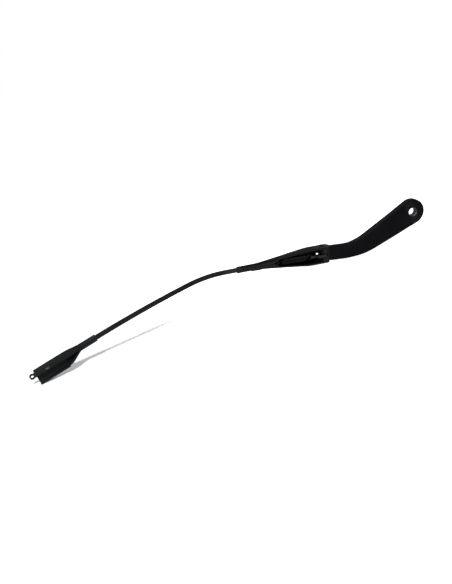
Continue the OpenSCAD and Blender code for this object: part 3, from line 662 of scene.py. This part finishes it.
def connector_ring(x):
    flared = min(1.0, max(0.0, (x - SLEEVE_LEN) / FLARE_LEN))
    stepped = ease((x - SLEEVE_LEN - FLARE_LEN) / (WALL_STEP / 2))
    low = -mix_of(SHELL_HALF, BODY_DOWN - WALL_STEP,
                  ease(flared * EVEN_SHARE + LATE_SHARE * flared * flared))
    low -= WALL_STEP * stepped
    high = mix_of(SHELL_HALF, BODY_UP, ease(flared))
    under = -mix_of(SHELL_TOP, BODY_DEPTH, ease(flared * DEPTH_RATE))
    closed = 1 - ease(flared * SEAM_RATE)
    lips = (mix_of(low + SHEET_T + LIP_REACH, -SEAM_HALF, closed),
            mix_of(high - SHEET_T - LIP_REACH, SEAM_HALF, closed))
    return sheet_ring(x, (low, high), (under, SHELL_TOP), lips,
                      (CRIMP_FOLD, mix_of(LIP_FOLD, CRIMP_FOLD, closed)))


def connector_piece():
    flare = [SLEEVE_LEN + FLARE_LEN * i / FLARE_STEPS for i in range(FLARE_STEPS + 1)]
    step = [SLEEVE_LEN + FLARE_LEN + WALL_STEP / 2 * i / STEP_STEPS
            for i in range(1, STEP_STEPS + 1)]
    shell = solid("shell", [connector_ring(x) for x in [0] + flare + step + [CONNECTOR_LEN]])
    hole = solid("hole", [ring_of(TIP_RIVET_R, z, 48) for z in (0, 5)],
                 Matrix.Translation((TIP_RIVET_X, 0, 0)))
    combine(shell, [hole], "DIFFERENCE")
    made = added("blade_connector_shell", taken(shell), CLIP_BLACK, "arm", TIP)
    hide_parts("blade_connector")


# Tension spring, on the line from the rod to the link: X = 0 is the middle of the hook in the
# rod, and the coil and the link's hook lie at negative X
WIRE_R, WIRE_SIDES, COIL_R, HOOK_R, FAR_HOOK_R = 1.1, 14, 4.9, 3.6, 3.4
LINK_LEN, COIL_PITCH, COIL_STEPS, HOOK_NECK, HOOK_OPEN = 23.0, 2.26, 32, 3.6, 40
HOOK_STEPS, BRIDGE_STEPS = 30, 10
# How the wire leaves the coil, enters a hook and enters the shank
COIL_OUT, HOOK_OUT, SHANK_OUT = (0.5, 2.5, 0), 2, (1.6, 0, 0)
# The coil begins as a cone, on the link's side, and its last turn is a quarter
CONE_R, CONE_TURNS, PART_TURN = 3.1, 1.3, 0.25
# The link's hook: neck, shank in the coil, and its head's places and radii past the shank
SHANK_NECK, SHANK_IN = 2.4, 11.5
SHANK_HEAD = [(0.05, 1.7), (0.3, 2.0), (1.1, 2.0), (1.4, 1.6)]
FAR_HOOK = Vector((80.9, 0, -3.5))
ANCHOR = Matrix.Rotation(-REST_FOLD, 3, "Y") @ Vector((ANCHOR_AT[0], 0, ANCHOR_AT[1]))
LINK_ANGLE = math.atan2(FAR_HOOK.z - ANCHOR.z, FAR_HOOK.x - ANCHOR.x)
SPRING_LEN = (FAR_HOOK - ANCHOR).length - LINK_LEN
ALONG_SPRING = SWING @ Matrix.Translation(FAR_HOOK) @ Matrix.Rotation(-LINK_ANGLE, 4, "Y")
COIL_TURNS = math.floor((SPRING_LEN - 2 * HOOK_R - FAR_HOOK_R - 2 * HOOK_NECK) / COIL_PITCH
                        - PART_TURN) + PART_TURN
COIL_FROM = -FAR_HOOK_R - HOOK_NECK - COIL_PITCH * COIL_TURNS


def bridge(a, out_a, b, in_b):
    """Inner points of a smooth curve between two points."""
    a, out_a, b, in_b = (Vector(v) for v in (a, out_a, b, in_b))
    shares = [i / BRIDGE_STEPS for i in range(1, BRIDGE_STEPS)]
    return [(1 - t) ** 3 * a + 3 * (1 - t) ** 2 * t * (a + out_a)
            + 3 * (1 - t) * t * t * (b - in_b) + t ** 3 * b for t in shares]


def wire(path):
    """Rings of the round wire along a path, carried along without twist."""
    points = [Vector(p) for p in path]
    last = len(points) - 1
    tangents = [(points[min(last, k + 1)] - points[max(0, k - 1)]).normalized()
                for k in range(last + 1)]
    turns = [2 * math.pi * i / WIRE_SIDES for i in range(WIRE_SIDES)]
    side = tangents[0].cross(Vector((0, 0, 1))).normalized()
    rings = []
    for point, tangent in zip(points, tangents):
        side = (side - tangent * side.dot(tangent)).normalized()
        other = tangent.cross(side)
        rings.append([point + WIRE_R * (math.cos(a) * side + math.sin(a) * other) for a in turns])
    return rings


def spring_piece():
    """The coil, with its hook in the rod."""
    coil = []
    steps = round(COIL_TURNS * COIL_STEPS)
    for i in range(steps + 1):
        turned = COIL_TURNS * i / steps
        radius = mix_of(CONE_R, COIL_R, ease(turned / CONE_TURNS))
        angle = math.pi + 2 * math.pi * turned
        coil.append((COIL_FROM + COIL_PITCH * turned, radius * math.cos(angle),
                     radius * math.sin(angle)))
    hook = [(x, 0, z) for x, z in arc((0, 0), FAR_HOOK_R, 180 - HOOK_OPEN, HOOK_OPEN - 180,
                                      HOOK_STEPS)]
    slant = math.radians(HOOK_OPEN)
    neck = bridge(coil[-1], COIL_OUT, hook[0],
                  (HOOK_OUT * math.sin(slant), 0, HOOK_OUT * math.cos(slant)))
    mesh = mesh_from("spring", wire(coil + neck + hook))
    smooth_with_edges(mesh, 50)
    made = added("tension_spring_wire", mesh, SPRING_GREY, "spring", ALONG_SPRING)
    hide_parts("tension_spring")


def link_hook_piece():
    """Swivel hook in the link, with a shank that draws out of the coil as the arm lifts."""
    middle = -SPRING_LEN + HOOK_R
    hook = [(x, y, 0) for x, y in arc((middle, 0), HOOK_R, -HOOK_OPEN, HOOK_OPEN - 360,
                                      HOOK_STEPS)]
    slant = math.radians(HOOK_OPEN)
    neck_end = (middle + HOOK_R + SHANK_NECK, 0, 0)
    neck = bridge(hook[-1], (HOOK_OUT * math.sin(slant), -HOOK_OUT * math.cos(slant), 0),
                  neck_end, SHANK_OUT)
    shank_end = Vector((COIL_FROM + SHANK_IN, 0, 0))
    rings = wire(hook + neck + [neck_end, (COIL_FROM, 0, 0), shank_end])
    end_ring = rings[-1]
    for beyond, radius in SHANK_HEAD:
        rings.append([shank_end + Vector((beyond, 0, 0)) + (point - shank_end) * (radius / WIRE_R)
                      for point in end_ring])
    mesh = mesh_from("hook", rings)
    smooth_with_edges(mesh, 50)
    added("tension_spring_hook", mesh, SPRING_GREY, "link", ALONG_SPRING)


spring_piece()
link_hook_piece()
rod_piece()
connector_piece()

# Table: shows the object's shadow near the connector. Further out a painted glow, seen only by the
# camera, lights it plain white and paints out the shadow under the head
LOW = CAD_BOX[0][2]
TABLE_HALF = 6.0
TABLE_DARK, TABLE_LIGHT = (0.9, 0.9, 0.9), (0.93, 0.93, 0.93)
SHADOW_MIDDLE = Vector((-0.54, -0.05, LOW))
# Painted light on the table, seen only by the camera: a weak glow round the kept shadow, rising to
# a strong one that washes out the shadow further away
GLOW_NEAR, GLOW_FAR, FADE_FROM, FADE_TO = 0.1, 0.8, 0.09, 0.19


def table():
    look = Look("table_white")
    tone = look.ramp(look.noise(TABLE_SCALE, 3.0), "Fac",
                     [(NOISE_LOW, TABLE_DARK), (NOISE_HIGH, TABLE_LIGHT)])
    look.link(tone, "Color", look.shader, "Base Color")
    look.shader.inputs["Roughness"].default_value = 0.9
    look.shader.inputs["Emission Color"].default_value = (1, 1, 1, 1)
    away = look.node("ShaderNodeVectorMath")
    away.operation = "DISTANCE"
    away.inputs[1].default_value = SHADOW_MIDDLE
    look.link(look.node("ShaderNodeNewGeometry"), "Position", away, 0)
    # Painted glow: weak near the connector's shadow, strong beyond, where it paints out the
    # object's shadow
    painted_glow = look.spread(away, "Value", GLOW_NEAR, GLOW_FAR, FADE_FROM, FADE_TO)
    painted_glow_to_camera = look.node("ShaderNodeMath")
    painted_glow_to_camera.operation = "MULTIPLY"
    look.link(painted_glow, "Result", painted_glow_to_camera, 0)
    look.link(look.node("ShaderNodeLightPath"), "Is Camera Ray", painted_glow_to_camera, 1)
    look.link(painted_glow_to_camera, "Value", look.shader, "Emission Strength")
    mesh = bpy.data.meshes.new("table")
    corners = [(x * TABLE_HALF, y * TABLE_HALF, LOW)
               for x, y in ((-1, -1), (1, -1), (1, 1), (-1, 1))]
    mesh.from_pydata(corners, [], [(0, 1, 2, 3)])
    mesh.materials.append(look.mat)
    made = linked("table", mesh)


table()

# Camera, as the photograph was taken: rolled, a little over the table
CAMERA_AT = Vector((-0.5135, -1.0519, 0.3943))
NUDGE_RIGHT, NUDGE_UP = 0.0003, -0.0002
AZIMUTH, ELEVATION, ROLL = math.radians(-10), math.radians(22), math.radians(-13.868)
SENSOR, LENS = 36, 45.14
camera_data = bpy.data.cameras.new("camera")
camera = linked("camera", camera_data)
bpy.context.scene.camera = camera
back = Vector((math.sin(AZIMUTH) * math.cos(ELEVATION), -math.cos(AZIMUTH) * math.cos(ELEVATION),
               math.sin(ELEVATION)))
level_right = Vector((math.cos(AZIMUTH), math.sin(AZIMUTH), 0))
level_up = back.cross(level_right)
right = level_right * math.cos(ROLL) + level_up * math.sin(ROLL)
up = back.cross(right)
CAMERA_AT += right * NUDGE_RIGHT + up * NUDGE_UP
camera.matrix_world = Matrix((
    (right.x, up.x, back.x, CAMERA_AT.x),
    (right.y, up.y, back.y, CAMERA_AT.y),
    (right.z, up.z, back.z, CAMERA_AT.z),
    (0, 0, 0, 1),
))
camera_data.sensor_width = SENSOR
camera_data.lens = LENS
camera_data.clip_start = 0.01
camera_data.clip_end = 50


def lamp(name, at, look_at, size, power):
    data = bpy.data.lights.new(name, "AREA")
    data.shape = "RECTANGLE"
    data.size, data.size_y = size
    data.energy = power
    made = linked(name, data)
    made.location = at
    made.rotation_euler = (Vector(look_at) - Vector(at)).to_track_quat("-Z", "Y").to_euler()


# Lamps: a small key high over the camera's left, which casts the shadow, and a broad weak one
# over and behind the object
MIDDLE = (-0.31, 0, 0)
lamp("lamp_key", (-0.79, -1.02, 1.37), MIDDLE, size=(0.24, 0.24), power=31)
lamp("lamp_over", (-0.2, 0.9, 1.3), MIDDLE, size=(1.2, 0.5), power=6)

# World: a dim fill on the object, plain white to the camera
FILL_COLOUR, FILL_LEVEL = (0.9, 0.92, 0.95, 1), 0.3
world = bpy.data.worlds.new("studio")
bpy.context.scene.world = world
world.use_nodes = True
tree = world.node_tree
fill = tree.nodes["Background"]
fill.inputs["Color"].default_value = FILL_COLOUR
fill.inputs["Strength"].default_value = FILL_LEVEL
plain = tree.nodes.new("ShaderNodeBackground")
plain.inputs["Color"].default_value = (1, 1, 1, 1)
rays = tree.nodes.new("ShaderNodeLightPath")
mix = tree.nodes.new("ShaderNodeMixShader")
tree.links.new(rays.outputs["Is Camera Ray"], mix.inputs["Fac"])
tree.links.new(fill.outputs["Background"], mix.inputs[1])
tree.links.new(plain.outputs["Background"], mix.inputs[2])
tree.links.new(mix.outputs["Shader"], tree.nodes["World Output"].inputs["Surface"])

bpy.context.scene.view_settings.view_transform = "Standard"
